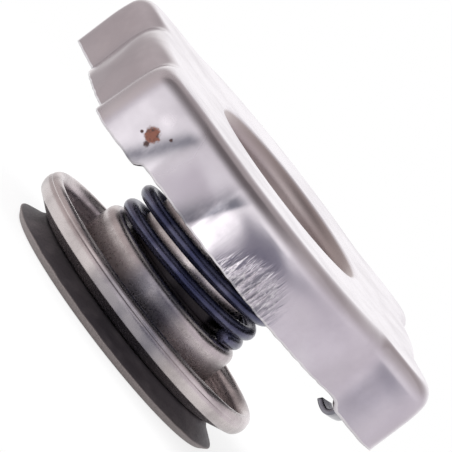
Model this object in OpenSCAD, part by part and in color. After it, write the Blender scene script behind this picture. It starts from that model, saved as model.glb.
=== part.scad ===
// Pressure cap for a radiator filler neck, seen closed and off the neck.
// Millimetres, +Z up, origin on the axis at the underside of the pressure gasket.

/* [Cap shell] */
// Radius of the round body of the skirt
body_r = 28.6; // [26:0.1:32]
// How far each grip lobe stands out of the round body
lobe_rise = 6; // [3:0.1:8]
// Angle from the ear's middle to each of its two lobes
lobe_angle = 34; // [28:1:40]
// Width of a lobe, as the angle that its curve is measured in
lobe_width = 12.4; // [9:0.1:14]
// Share of the lobe's full rise that is cut off at its foot, which meets the body at a crease
lobe_foot = 0.25; // [0.05:0.05:0.4]
// How far the skirt's edge dips below its plain edge at a lobe
lobe_drop = 0.8; // [0:0.1:1.5]
// Height from the skirt's plain edge to the top face
skirt_h = 10.2; // [9:0.1:14]
// Thickness of the pressed steel sheet
sheet_t = 1; // [0.8:0.05:1.2]
// Rounding of the top's outer edge
edge_r = 2.6; // [2:0.1:3.5]
// Radius of the round dish pressed into the top
recess_r = 13.4; // [11:0.1:15]
// Depth of that dish
recess_depth = 4; // [3:0.1:4.5]
// Rounding of the dish's upper edge
recess_edge_r = 1.3; // [1.2:0.1:2.5]

/* [Locking tangs] */
// Angle from the ear's middle to the tang's plain end
tang_end = 38; // [25:1:45]
// Angle from the ear's middle to the tang's other end, where one tang has a stop
stop_start = 30; // [20:1:36]
// Angle that the bent-down stop covers
stop_angle = 8; // [5:1:12]
// Inside radius of the tang's curl
tang_curl = 0.6; // [0.4:0.1:1]
// Flat length of the tang, inwards past its curl
tang_reach = 1.6; // [1:0.1:2.5]
// How far the tang's underside lies below the skirt's plain edge
tang_drop = 0.3; // [0.1:0.1:1]
// How far the stop's underside lies below the skirt's plain edge
stop_drop = 2.8; // [1.5:0.1:3.5]

/* [Neck seal] */
// Thickness of the spring-steel disc that carries the neck seal
disc_t = 0.4; // [0.3:0.05:0.6]
// How far the disc's rim hangs below its middle
disc_sag = 0.6; // [0.4:0.1:1.8]
// Radial gap from the disc's rim to the inside of the skirt
disc_gap = 1.6; // [1:0.1:3]
// Thickness of the rubber neck seal
seal_t = 1.4; // [1:0.1:1.8]
// Width of the rubber neck seal
seal_w = 3.6; // [2.5:0.1:4.5]

/* [Bell and rivet] */
// Outer radius of the bell that guides the valve
bell_r = 9.1; // [8.6:0.05:9.4]
// Thickness of the bell's sheet
bell_t = 0.8; // [0.6:0.05:1]
// Inside rounding of the bell's roof
bell_bend = 1.2; // [0.8:0.1:1.6]
// Radial gap from the bell's outturned foot to the inside of the spring cup
foot_gap = 0.9; // [0.5:0.1:1.2]
// Radius of the rivet's shank
rivet_r = 2.5; // [2:0.1:3]
// Radius of the rivet's two heads
rivet_head_r = 4.6; // [3.8:0.1:5.5]
// Height of the rivet's domed head
rivet_head_h = 1.4; // [1:0.1:2]
// Thickness of the rivet's swaged foot
rivet_foot_h = 1; // [0.8:0.1:1.5]
// Thickness of the washer under the bell's roof
washer_t = 0.8; // [0.6:0.1:1.2]
// Radius of that washer
washer_r = 5.6; // [5:0.1:7]

/* [Pressure spring] */
// Wire diameter
wire_d = 2; // [1.6:0.05:2.2]
// Radial gap between the bell and the coil
coil_gap = 1.1; // [0.4:0.05:1.4]
// Number of turns, with the two closed ends
coil_turns = 4.2; // [3.8:0.1:4.6]
// Gap between turns at the closed ends
end_gap = 0.35; // [0.1:0.05:0.5]
// Angle at which the wire starts at the foot
coil_start = -15; // [-180:5:180]

/* [Pressure valve] */
// Thickness of the valve plate and of the spring cup
plate_t = 0.8; // [0.6:0.05:1]
// Outer radius of the plate's rolled rim
rim_r = 21; // [20.5:0.1:21.5]
// Radius of the rolled rim's bead
bead_r = 1.1; // [0.9:0.05:1.3]
// Height of the rim's crest above the plate's underside
rim_h = 4.7; // [3.5:0.1:5.5]
// Radius of the plate's flat underside
plate_base_r = 17; // [16.5:0.1:17.8]
// How far the spring cup's wall stands out past the coil
cup_ledge = 0.65; // [0.5:0.05:1.5]
// Height of the spring cup's top above the plate's underside
cup_h = 8.2; // [7.6:0.1:9]
// Rounding of the spring cup's shoulder
cup_shoulder = 1.5; // [1:0.1:1.8]
// Width of the spring cup's foot flange
cup_foot = 1.8; // [1:0.1:2.5]
// Height from the spring cup's top to the skirt's plain edge
window_h = 8.6; // [7.5:0.1:10]

/* [Pressure gasket] */
// Thickness of the gasket under the plate
gasket_t = 2.9; // [2.4:0.1:3.5]
// Greatest radius, at the gasket's outer lip
gasket_r = 20.2; // [19.5:0.1:20.4]
// Height of that lip above the gasket's underside
gasket_lip_z = 1.65; // [1.2:0.05:2]
// Outer radius of the gasket's underside
gasket_sole_r = 18.9; // [18:0.1:19.4]
// Width of the flat sealing ring on the underside
gasket_sole_w = 3.6; // [3:0.1:4]
// How far the sealing ring's inner wall leans in
gasket_lean = 0.95; // [0.4:0.05:1.2]
// Thickness of the gasket's inner part, under the clamp plate
gasket_web = 1; // [0.8:0.05:1.2]

/* [Vacuum valve] */
// Thickness of the clamp plate below the gasket
clamp_t = 0.6; // [0.4:0.05:0.7]
// Radial gap from the clamp plate's edge to the gasket's sealing ring
clamp_gap = 1.35; // [0.8:0.05:2]
// Outer radius of the clamp plate's tube, which passes through the plate
tube_r = 7.1; // [6.5:0.1:7.5]
// Width of the flange that is turned over at the tube's top
tube_flange = 1.5; // [1:0.1:2]
// Radius of the vacuum valve's disc
vac_disc_r = 9.4; // [8.8:0.1:10]
// Thickness of that disc
vac_disc_t = 0.5; // [0.4:0.05:0.6]
// Thickness of the rubber washer on the disc
vac_seal_t = 0.5; // [0.4:0.05:0.6]
// Radius of the vacuum valve's stem
stem_r = 1.3; // [1:0.05:1.6]
// Radius of the stem's spring washer
stem_washer_r = 3.4; // [3:0.1:4]
// Thickness of that washer
stem_washer_t = 0.6; // [0.4:0.05:0.8]
// How far the stem stands out past its washer
stem_tip = 0.4; // [0.2:0.05:0.8]
// Height of the vacuum spring
vac_spring_h = 4; // [3:0.1:4.2]
// Wire diameter of the vacuum spring
vac_wire_d = 0.6; // [0.4:0.05:0.8]
// Turns of the vacuum spring
vac_turns = 3.5; // [3:0.5:4]

/* [Clearances] */
// Gap between flat faces that part when something moves
seat_gap = 0.06; // [0.03:0.01:0.1]
// Radial gap of the rivet in the shell
rivet_gap = 0.05; // [0.03:0.01:0.1]
// Radial gap of the bell in the spring cup
guide_gap = 0.3; // [0.25:0.05:0.5]
// Radial gap of pressed and slipped-on pieces
slip_gap = 0.05; // [0.02:0.01:0.1]

/* [Hidden] */
$fn = 96;

// Heights, from the gasket's underside up
plate_z = gasket_t;
floor_z = plate_z + plate_t;
cup_top = plate_z + cup_h;
skirt_z = cup_top + window_h;
top_z = skirt_z + skirt_h;
recess_z = top_z - recess_depth;
disc_top = recess_z - sheet_t - seat_gap;
bell_top = disc_top - disc_t;
washer_top = bell_top - bell_t;
bell_foot_top = cup_top - plate_t - seat_gap;
clamp_top = plate_z - gasket_web;
clamp_z = clamp_top - clamp_t;
vac_seal_top = clamp_z - seat_gap;
vac_disc_top = vac_seal_top - vac_seal_t;
flange_top = floor_z + clamp_t;
stem_washer_z = flange_top + vac_spring_h;
stem_top = stem_washer_z + stem_washer_t + stem_tip;

// Radii of pieces that fit in or on another one
disc_r = body_r - sheet_t - disc_gap;
coil_r = bell_r + coil_gap + wire_d / 2;
cup_r = coil_r + wire_d / 2 + cup_ledge;
bell_foot_r = cup_r - plate_t - foot_gap;
gasket_step_r = gasket_sole_r - gasket_sole_w - gasket_lean;
clamp_r = gasket_step_r - clamp_gap;

// How far the tang's sheet lies inside the skirt's faces, and how far it runs up inside the skirt
tang_inset = 0.1;
tang_root = 2;

// Angle over which the stop and the tang are one strip
stop_lap = 2;

// How far a cut runs past the faces that it opens
cut = 1;

// Resolution of the faceted skins
shell_sides = 120;
round_steps = 4;
wire_sides = 12;
vac_wire_sides = 8;
steps_per_turn = 24;

// Points of an arc about [x, z], from angle a0 to a1
function arc(x, z, r, a0, a1, n = 8) =
    [for (i = [0:n]) [x + r * cos(a0 + (a1 - a0) * i / n), z + r * sin(a0 + (a1 - a0) * i / n)]];

// Angle brought into -180 to 180
function wrap(a) = a - 360 * floor((a + 180) / 360);

// One lobe's share of its full rise, and the sum over the four lobes of the two ears
function lobe(a) = max(0, (exp(-pow(wrap(a) / lobe_width, 2)) - lobe_foot) / (1 - lobe_foot));
function lobes(a) = lobe(a - lobe_angle) + lobe(a + lobe_angle)
    + lobe(a - 180 - lobe_angle) + lobe(a - 180 + lobe_angle);
function outline_r(a) = body_r + lobe_rise * lobes(a);
function edge_z(a) = skirt_z - lobe_drop * lobes(a);

// One ring of a skin whose points lie inset from the lobed outline
function lobed_ring(inset, z) =
    [for (i = [0:shell_sides - 1]) let (a = i * 360 / shell_sides, r = outline_r(a) - inset)
        [r * cos(a), r * sin(a), z]];
// The lobed ring that follows the skirt's dipping edge
function edge_ring(inset) =
    [for (i = [0:shell_sides - 1]) let (a = i * 360 / shell_sides, r = outline_r(a) - inset)
        [r * cos(a), r * sin(a), edge_z(a)]];
function round_ring(r, z) =
    [for (i = [0:shell_sides - 1]) let (a = i * 360 / shell_sides) [r * cos(a), r * sin(a), z]];

// Skin through a list of rings, closed by a point at its start and at its end
module ring_skin(first, rings, last, sides) {
    count = len(rings);
    points = concat([first], [for (ring = rings) each ring], [last]);
    faces = concat(
        [for (i = [0:sides - 1]) [0, 1 + (i + 1) % sides, 1 + i]],
        [for (k = [0:count - 2], i = [0:sides - 1])
            let (a = 1 + k * sides + i, b = 1 + k * sides + (i + 1) % sides) each [[a, b, b + sides],
                [a, b + sides, a + sides]]],
        [for (i = [0:sides - 1])
            let (s = 1 + (count - 1) * sides) [s + i, s + (i + 1) % sides, 1 + count * sides]]);
    polyhedron(points, faces, convexity = 10);
}

// Round wire whose centre line is a list of points, with the axis of the coil along Z
module wire(path, d, sides) {
    last = len(path) - 1;
    rings = [for (k = [0:last])
        let (along = path[min(k + 1, last)] - path[max(k - 1, 0)],
            t = along / norm(along),
            out = cross([0, 0, 1], t),
            side = out / norm(out),
            up = cross(t, side))
        [for (i = [0:sides - 1])
            path[k] + d / 2 * (cos(i * 360 / sides) * side + sin(i * 360 / sides) * up)]];
    ring_skin(path[0], rings, path[last], sides);
}

// Pressed steel cover: lobed skirt, rounded edge, top with a dish, rivet hole, two tangs and one stop
module cap_shell() {
    in_edge = edge_r - sheet_t;
    dish_out = recess_r + recess_edge_r;
    outside = concat(
        [edge_ring(0)],
        [for (k = [0:round_steps]) let (f = 90 * k / round_steps)
            lobed_ring(edge_r * (1 - cos(f)), top_z - edge_r * (1 - sin(f)))],
        [for (p = arc(dish_out, top_z - recess_edge_r, recess_edge_r, 90, 180, round_steps))
            round_ring(p[0], p[1])],
        [for (p = arc(recess_r - sheet_t, recess_z + sheet_t, sheet_t, 0, -90, round_steps))
            round_ring(p[0], p[1])]);
    inside = concat(
        [for (p = arc(recess_r - sheet_t, recess_z + sheet_t, 2 * sheet_t, -90, 0, round_steps))
            round_ring(p[0], p[1])],
        [for (p = arc(dish_out, top_z - recess_edge_r, recess_edge_r - sheet_t, 180, 90, round_steps))
            round_ring(p[0], p[1])],
        [for (k = [round_steps:-1:0]) let (f = 90 * k / round_steps)
            lobed_ring(sheet_t + in_edge * (1 - cos(f)), top_z - sheet_t - in_edge * (1 - sin(f)))],
        [edge_ring(sheet_t)]);
    color("silver") difference() {
        union() {
            shell_skin(outside, inside);
            for (turn = [0, 180]) rotate(turn) tang(-stop_start, tang_end, tang_drop);
            tang(-stop_start - stop_angle, -stop_start + stop_lap, stop_drop);
        }
        translate([0, 0, recess_z - sheet_t - cut])
            cylinder(r = rivet_r + rivet_gap, h = sheet_t + 2 * cut);
    }
}

// Closed shell between an outer and an inner list of rings, joined at the open edge and solid at the axis
module shell_skin(outside, inside) {
    sides = shell_sides;
    rings = concat(outside, inside);
    count = len(rings);
    top = count * sides;
    axis_row = len(outside) - 1;
    points = concat([for (ring = rings) each ring], [[0, 0, recess_z], [0, 0, recess_z - sheet_t]]);
    faces = concat(
        [for (k = [0:count - 1], i = [0:sides - 1]) if (k != axis_row)
            let (n = (k + 1) % count, j = (i + 1) % sides)
            each [[k * sides + i, n * sides + j, k * sides + j],
                [k * sides + i, n * sides + i, n * sides + j]]],
        [for (i = [0:sides - 1]) let (j = (i + 1) % sides)
            each [[axis_row * sides + i, top, axis_row * sides + j],
                [(axis_row + 1) * sides + i, (axis_row + 1) * sides + j, top + 1]]]);
    polyhedron(points, faces, convexity = 10);
}

// Strip that runs on from the skirt's edge, curls under and points inwards below the neck's cams
module tang(first, last, drop) {
    thick = sheet_t - 2 * tang_inset;
    wall = body_r - tang_inset - thick;
    curl_x = wall - tang_curl;
    curl_z = skirt_z - drop + thick + tang_curl;
    root_z = skirt_z + tang_root;
    rotate(first) rotate_extrude(angle = last - first) polygon(concat(
        [[wall, root_z]],
        arc(curl_x, curl_z, tang_curl, 0, -90),
        [[curl_x - tang_reach, curl_z - tang_curl], [curl_x - tang_reach, curl_z - tang_curl - thick]],
        arc(curl_x, curl_z, tang_curl + thick, -90, 0),
        [[wall + thick, root_z]]));
}

// Dished spring-steel disc under the shell, which presses the neck seal down
module neck_disc() {
    flat = recess_r + sheet_t;
    color("darkgray") rotate_extrude() polygon([
        [rivet_r + slip_gap, bell_top],
        [flat, bell_top],
        [disc_r - seal_w, bell_top - disc_sag],
        [disc_r, bell_top - disc_sag],
        [disc_r, disc_top - disc_sag],
        [disc_r - seal_w, disc_top - disc_sag],
        [flat, disc_top],
        [rivet_r + slip_gap, disc_top]]);
}

// Flat rubber ring that seals on the neck's upper lip
module neck_seal() {
    color("dimgray") translate([0, 0, bell_top - disc_sag - seal_t]) difference() {
        cylinder(r = disc_r, h = seal_t);
        translate([0, 0, -cut]) cylinder(r = disc_r - seal_w, h = seal_t + 2 * cut);
    }
}

// Drawn steel cup, open below, that hangs from the rivet and holds the spring cup on its outturned foot
module bell() {
    foot_z = bell_foot_top - bell_t;
    in_r = bell_r - bell_t;
    color("silver") rotate_extrude() polygon(concat(
        [[rivet_r + slip_gap, washer_top]],
        arc(in_r - bell_bend, washer_top - bell_bend, bell_bend, 90, 0),
        [[in_r, foot_z], [bell_foot_r, foot_z], [bell_foot_r, bell_foot_top], [bell_r, bell_foot_top]],
        arc(in_r - bell_bend, washer_top - bell_bend, bell_bend + bell_t, 0, 90),
        [[rivet_r + slip_gap, bell_top]]));
}

// Rivet through shell, disc, bell and washer, with a domed head in the top's dish
module centre_rivet() {
    head_z = recess_z + seat_gap;
    foot_z = washer_top - washer_t;
    dome = (rivet_head_r * rivet_head_r + rivet_head_h * rivet_head_h) / (2 * rivet_head_h);
    sweep = asin(rivet_head_r / dome);
    color("gainsboro") rotate_extrude() polygon(concat(
        [[0, foot_z - rivet_foot_h], [rivet_head_r - rivet_foot_h, foot_z - rivet_foot_h],
            [rivet_head_r, foot_z], [rivet_r, foot_z], [rivet_r, head_z]],
        arc(0, head_z + rivet_head_h - dome, dome, 90 - sweep, 90)));
}

// Plain washer between the bell's roof and the rivet's foot
module rivet_washer() {
    color("lightgray") translate([0, 0, washer_top - washer_t]) difference() {
        cylinder(r = washer_r, h = washer_t);
        translate([0, 0, -cut]) cylinder(r = rivet_r + slip_gap, h = washer_t + 2 * cut);
    }
}

// Blued steel coil between the spring cup and the neck disc, right-handed, with a closed turn at each end
module pressure_spring() {
    low = cup_top + seat_gap + wire_d / 2;
    lift = bell_top - seat_gap - wire_d / 2 - low;
    end_pitch = wire_d + end_gap;
    pitch = (lift - 2 * end_pitch) / (coil_turns - 2);
    function climb(t) = end_pitch * (min(t, 1) + max(t - coil_turns + 1, 0))
        + pitch * max(0, min(t, coil_turns - 1) - 1);
    steps = ceil(coil_turns * steps_per_turn);
    color("midnightblue") wire([for (i = [0:steps])
        let (t = coil_turns * i / steps, a = coil_start + 360 * t)
        [coil_r * cos(a), coil_r * sin(a), low + climb(t)]], wire_d, wire_sides);
}

// Upturned cup that rides up the bell and takes the spring's foot on its roof
module spring_cup() {
    in_r = cup_r - plate_t;
    in_bend = cup_shoulder - plate_t;
    hole = bell_r + guide_gap;
    color("rosybrown") rotate_extrude() polygon(concat(
        [[in_r, floor_z], [cup_r + cup_foot, floor_z], [cup_r + cup_foot, floor_z + plate_t],
            [cup_r, floor_z + plate_t]],
        arc(cup_r - cup_shoulder, cup_top - cup_shoulder, cup_shoulder, 0, 90),
        [[hole, cup_top], [hole, cup_top - plate_t]],
        arc(cup_r - cup_shoulder, cup_top - cup_shoulder, in_bend, 90, 0)));
}

// Dished steel plate with a rolled rim, which carries the gasket on its underside
module valve_plate() {
    bead_x = rim_r - bead_r;
    bead_z = plate_z + rim_h - bead_r;
    slope = atan2(bead_z - plate_z, bead_x - plate_base_r);
    reach = norm([bead_x - plate_base_r, bead_z - plate_z]);
    // Angle of the wall that leaves the plate's base and touches the bead
    wall = slope - asin(bead_r / reach);
    wall_l = reach * cos(slope - wall);
    bend = tan(wall / 2) * plate_t;
    color("rosybrown") rotate_extrude() {
        polygon([
            [tube_r + slip_gap, plate_z],
            [plate_base_r, plate_z],
            [plate_base_r + wall_l * cos(wall), plate_z + wall_l * sin(wall)],
            [plate_base_r + wall_l * cos(wall) - plate_t * sin(wall),
                plate_z + wall_l * sin(wall) + plate_t * cos(wall)],
            [plate_base_r - bend, floor_z],
            [tube_r + slip_gap, floor_z]]);
        translate([bead_x, bead_z]) circle(r = bead_r);
    }
}

// Rubber ring with a flared lip and a flat sole, clamped under the valve plate
module pressure_gasket() {
    color([0.17, 0.16, 0.17]) rotate_extrude() polygon([
        [tube_r + slip_gap, plate_z],
        [plate_base_r, plate_z],
        [gasket_r, gasket_lip_z],
        [gasket_sole_r, 0],
        [gasket_sole_r - gasket_sole_w, 0],
        [gasket_step_r, clamp_top],
        [tube_r + slip_gap, clamp_top]]);
}

// Ring below the gasket whose tube passes up through the valve plate and is turned over on it
module clamp_plate() {
    in_r = tube_r - clamp_t;
    color("silver") rotate_extrude() polygon([
        [in_r, clamp_z],
        [clamp_r, clamp_z],
        [clamp_r, clamp_top],
        [tube_r, clamp_top],
        [tube_r, floor_z],
        [tube_r + tube_flange, floor_z],
        [tube_r + tube_flange, flange_top],
        [in_r, flange_top]]);
}

// Brass disc and stem that open downwards when the radiator draws a vacuum
module vacuum_disc() {
    color("darkkhaki") rotate_extrude() polygon([
        [0, vac_disc_top - vac_disc_t],
        [vac_disc_r, vac_disc_top - vac_disc_t],
        [vac_disc_r, vac_disc_top],
        [stem_r, vac_disc_top],
        [stem_r, stem_top],
        [0, stem_top]]);
}

// Rubber washer on the vacuum disc, which closes against the clamp plate
module vacuum_seal() {
    color([0.2, 0.19, 0.19]) translate([0, 0, vac_disc_top]) difference() {
        cylinder(r = vac_disc_r, h = vac_seal_t);
        translate([0, 0, -cut]) cylinder(r = stem_r + slip_gap, h = vac_seal_t + 2 * cut);
    }
}

// Conical spring from the clamp plate's flange in to the stem's washer
module vacuum_spring() {
    low = flange_top + seat_gap + vac_wire_d / 2;
    high = stem_washer_z - seat_gap - vac_wire_d / 2;
    wide = tube_r + tube_flange / 2;
    narrow = stem_washer_r - vac_wire_d;
    steps = ceil(vac_turns * steps_per_turn);
    color("lightsteelblue") wire([for (i = [0:steps])
        let (f = i / steps, r = wide + (narrow - wide) * f, a = 360 * vac_turns * f)
        [r * cos(a), r * sin(a), low + (high - low) * f]], vac_wire_d, vac_wire_sides);
}

// Washer staked on the stem, under which the vacuum spring pushes
module stem_washer() {
    color("darkkhaki") translate([0, 0, stem_washer_z]) difference() {
        cylinder(r = stem_washer_r, h = stem_washer_t);
        translate([0, 0, -cut]) cylinder(r = stem_r + slip_gap, h = stem_washer_t + 2 * cut);
    }
}

cap_shell();
neck_disc();
neck_seal();
bell();
centre_rivet();
rivet_washer();
pressure_spring();
spring_cup();
valve_plate();
pressure_gasket();
clamp_plate();
vacuum_disc();
vacuum_seal();
vacuum_spring();
stem_washer();
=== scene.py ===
import math
import bpy
import numpy as np
from mathutils import Matrix, Vector


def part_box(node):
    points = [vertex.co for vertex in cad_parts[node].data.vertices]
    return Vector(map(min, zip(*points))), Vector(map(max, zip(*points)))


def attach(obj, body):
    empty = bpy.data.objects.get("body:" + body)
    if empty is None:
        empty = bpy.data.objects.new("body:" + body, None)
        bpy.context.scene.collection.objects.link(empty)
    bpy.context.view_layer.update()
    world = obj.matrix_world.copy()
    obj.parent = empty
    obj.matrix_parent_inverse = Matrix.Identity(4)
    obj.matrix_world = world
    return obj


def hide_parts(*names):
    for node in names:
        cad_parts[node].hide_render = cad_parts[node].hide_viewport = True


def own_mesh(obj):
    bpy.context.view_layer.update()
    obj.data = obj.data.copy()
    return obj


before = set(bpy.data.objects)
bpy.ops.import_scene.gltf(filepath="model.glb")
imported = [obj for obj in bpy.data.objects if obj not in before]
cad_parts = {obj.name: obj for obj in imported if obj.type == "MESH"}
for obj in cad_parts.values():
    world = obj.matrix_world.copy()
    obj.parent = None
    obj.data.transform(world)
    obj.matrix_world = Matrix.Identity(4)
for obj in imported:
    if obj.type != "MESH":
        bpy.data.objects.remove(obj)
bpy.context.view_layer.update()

mm = 0.001  # the sizes below are in millimetres, Blender's in metres
fullTurn = 2 * np.pi


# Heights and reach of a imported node, in millimetres
def topOf(node):
    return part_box(node)[1].z / mm


def footOf(node):
    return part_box(node)[0].z / mm


def reachOf(node):
    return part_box(node)[1].x / mm


# A smooth step: 3 t^2 - 2 t^3, with t running from 0 at low to 1 at high
def ease(value, low, high):
    t = np.clip((value - low) / (high - low), 0, 1)
    return t * t * (3 - 2 * t)


# An outline with soft corners. Each corner P turns into the curve (1-s)^2 A + 2 s (1-s) P + s^2 B,
# where A and B lie on the two sides at the bend's length from P, at most 0.45 of the shorter side.
# Straight stretches get points of their own at the given shares, so that they stay flat when shaded.
def softOutline(corners, bend, closed=True, steps=7, shares=(0.06, 0.35, 0.65, 0.94)):
    corner = np.array(corners, float)
    toBefore = np.roll(corner, 1, axis=0) - corner
    toAfter = np.roll(corner, -1, axis=0) - corner
    sideBefore = np.linalg.norm(toBefore, axis=1)
    sideAfter = np.linalg.norm(toAfter, axis=1)
    cut = np.minimum(np.broadcast_to(bend, len(corner)), 0.45 * np.minimum(sideBefore, sideAfter))
    if not closed:
        cut[[0, -1]] = 0
    start = corner + toBefore * (cut / sideBefore)[:, None]
    end = corner + toAfter * (cut / sideAfter)[:, None]
    s = np.linspace(0, 1, steps)[None, :, None]
    curve = (1 - s) ** 2 * start[:, None] + 2 * s * (1 - s) * corner[:, None] + s ** 2 * end[:, None]
    f = np.array(shares)[None, :, None]
    straight = end[:, None] + f * (np.roll(start, -1, axis=0) - end)[:, None]
    points = np.concatenate([curve, straight], axis=1).reshape(-1, 2)
    if not closed:
        points = points[:-len(shares)]
    keep = np.linalg.norm(points - np.roll(points, 1, axis=0), axis=1) > 1e-5
    keep[0] = True
    return points[keep]


# Points of an arc about a centre: centre + radius (cos a, sin a), from one angle to another, in degrees
def arcPoints(centre, radius, first, last, count):
    a = np.radians(np.linspace(first, last, count))
    return np.array(centre) + radius * np.stack([np.cos(a), np.sin(a)], axis=1)


# A turned piece: x = radius cos a, y = radius sin a, z = height, over outline points by angles
def turnedGrid(outline, count):
    a = np.linspace(0, fullTurn, count, endpoint=False)
    radius, height = outline[:, 0, None], outline[:, 1, None]
    return np.stack([radius * np.cos(a), radius * np.sin(a), height + 0 * a], axis=-1)


# A round wire: at each point of the path a circle of the wire's radius, in the plane across the path,
# spanned by the direction away from the coil's axis and the one at right angles to it.
# Three smaller circles at each end, radius cos e and step radius sin e, round the end off.
def wireGrid(path, radius, sides):
    along = np.gradient(path, axis=0)
    along /= np.linalg.norm(along, axis=1)[:, None]
    side = np.cross([0, 0, 1], along)
    side /= np.linalg.norm(side, axis=1)[:, None]
    up = np.cross(along, side)
    e = np.radians([80, 55, 28])
    centre = np.concatenate([path[:1] - 0.15 * radius * np.sin(e)[:, None] * along[:1], path,
                             path[-1:] + 0.15 * radius * np.sin(e[::-1])[:, None] * along[-1:]])
    size = radius * np.concatenate([np.cos(e), np.ones(len(path)), np.cos(e[::-1])])
    pad = ((3, 3), (0, 0))
    side, up = np.pad(side, pad, mode="edge"), np.pad(up, pad, mode="edge")
    a = np.linspace(0, fullTurn, sides, endpoint=False)[None, :, None]
    ring = np.cos(a) * side[:, None] + np.sin(a) * up[:, None]
    return centre[:, None] + size[:, None, None] * ring


# A smooth-shaded piece from points in millimetres and lists of corners
def meshPiece(name, points, faces):
    mesh = bpy.data.meshes.new(name)
    mesh.from_pydata((points * mm).tolist(), [], faces)
    mesh.polygons.foreach_set("use_smooth", np.ones(len(mesh.polygons), bool))
    mesh.update()
    piece = bpy.data.objects.new(name, mesh)
    bpy.context.collection.objects.link(piece)
    return piece


# Mesh of a grid whose columns close round. Its rows close too, or end in a point at the row's middle.
# The signed volume, a sixth of the sum of a.(b x c) over its triangles, tells which way the faces point.
def gridPiece(name, grid, rowsClose):
    rows, columns = grid.shape[:2]
    points = grid.reshape(-1, 3)
    here = np.arange(rows if rowsClose else rows - 1)[:, None] * columns
    column = np.arange(columns)
    beside = (column + 1) % columns
    below = (here + columns) % (rows * columns)
    faces = np.stack([here + column, here + beside, below + beside, below + column], axis=-1).reshape(-1, 4)
    fans = np.zeros((0, 3), int)
    if not rowsClose:
        points = np.concatenate([points, [grid[0].mean(axis=0), grid[-1].mean(axis=0)]])
        first, last = len(points) - 2, len(points) - 1
        lastRow = (rows - 1) * columns
        fans = np.concatenate([np.stack([beside, column, 0 * column + first], axis=1),
                               np.stack([lastRow + column, lastRow + beside, 0 * column + last], axis=1)])
    half = np.concatenate([faces[:, [0, 1, 2]], faces[:, [0, 2, 3]], fans])
    a, b, c = (points[half[:, k]] for k in range(3))
    if np.einsum("ij,ij->i", a, np.cross(b, c)).sum() < 0:
        faces, fans = faces[:, ::-1], fans[:, ::-1]
    return meshPiece(name, points, faces.tolist() + fans.tolist())


# Share of darker colour at each vertex, from 0 to 1, for the plated steel to read: partly stain, partly painted shade
def layStainAndShade(piece, shares):
    piece.data.attributes.new("stainAndShade", "FLOAT", "POINT").data.foreach_set("value", shares.ravel())


# Gives a piece its material and the body it rides on, and hides the imported node it stands for
def dress(piece, body, node, material):
    piece.data.materials.append(material)
    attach(piece, body)
    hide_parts(node)
    return piece


# Materials. Each one is a Principled shader fed by textures on Object coordinates; the plated steel also reads the
# piece's own attribute of stain and painted shade.
class Finish:
    def __init__(self, name):
        self.material = bpy.data.materials.new(name)
        self.material.use_nodes = True
        self.tree = self.material.node_tree
        self.shader = self.tree.nodes["Principled BSDF"]
        self.place = self.node("ShaderNodeTexCoord").outputs["Object"]

    def node(self, kind, **settings):
        made = self.tree.nodes.new(kind)
        for key, value in settings.items():
            setattr(made, key, value)
        return made

    def feed(self, value, socket):
        if isinstance(value, bpy.types.NodeSocket):
            self.tree.links.new(value, socket)
        else:
            socket.default_value = value

    def scaled(self, scale):
        made = self.node("ShaderNodeMapping")
        self.feed(self.place, made.inputs["Vector"])
        made.inputs["Scale"].default_value = scale
        return made.outputs["Vector"]

    def noise(self, scale, detail=4, rough=0.55, place=None):
        made = self.node("ShaderNodeTexNoise")
        self.feed(place or self.place, made.inputs["Vector"])
        made.inputs["Scale"].default_value = scale
        made.inputs["Detail"].default_value = detail
        made.inputs["Roughness"].default_value = rough
        return made.outputs["Fac"]

    def math(self, operation, *values):
        made = self.node("ShaderNodeMath", operation=operation)
        for value, socket in zip(values, made.inputs):
            self.feed(value, socket)
        return made.outputs[0]

    # A smooth step from one range of values to another
    def span(self, value, low, high, toLow=0, toHigh=1):
        made = self.node("ShaderNodeMapRange", interpolation_type="SMOOTHSTEP")
        for key, number in (("Value", value), ("From Min", low), ("From Max", high),
                            ("To Min", toLow), ("To Max", toHigh)):
            self.feed(number, made.inputs[key])
        return made.outputs[0]

    def mix(self, share, first, second):
        made = self.node("ShaderNodeMix", data_type="RGBA")
        for value, socket in zip((share, first, second), (made.inputs[0], made.inputs[6], made.inputs[7])):
            self.feed(tint(value) if isinstance(value, tuple) else value, socket)
        return made.outputs[2]

    # Share of a round spot: 1 as far as the inner share of its radius, 0 past the radius. A texture breaks its rim.
    def spot(self, middle, radius, inner=0.25, ragged=None):
        away = self.node("ShaderNodeVectorMath", operation="DISTANCE")
        self.feed(self.place, away.inputs[0])
        away.inputs[1].default_value = [v * mm for v in middle]
        distance = away.outputs["Value"]
        if ragged is not None:
            shift = self.math("MULTIPLY", self.math("SUBTRACT", ragged, 0.5), 1.3 * radius * mm)
            distance = self.math("ADD", distance, shift)
        return self.span(distance, inner * radius * mm, radius * mm, 1, 0)

    # Bump layers laid over one another, each a height, a strength and a depth in millimetres
    def bumps(self, *layers):
        normal = None
        for height, strength, distance in layers:
            made = self.node("ShaderNodeBump")
            made.inputs["Strength"].default_value = strength
            made.inputs["Distance"].default_value = distance * mm
            self.feed(height, made.inputs["Height"])
            if normal is not None:
                self.feed(normal, made.inputs["Normal"])
            normal = made.outputs["Normal"]
        self.feed(normal, self.shader.inputs["Normal"])

    def set(self, **values):
        for key, value in values.items():
            self.feed(tint(value) if isinstance(value, tuple) else value, self.shader.inputs[key])


def tint(colour):
    return (*colour, 1.0)
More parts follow.
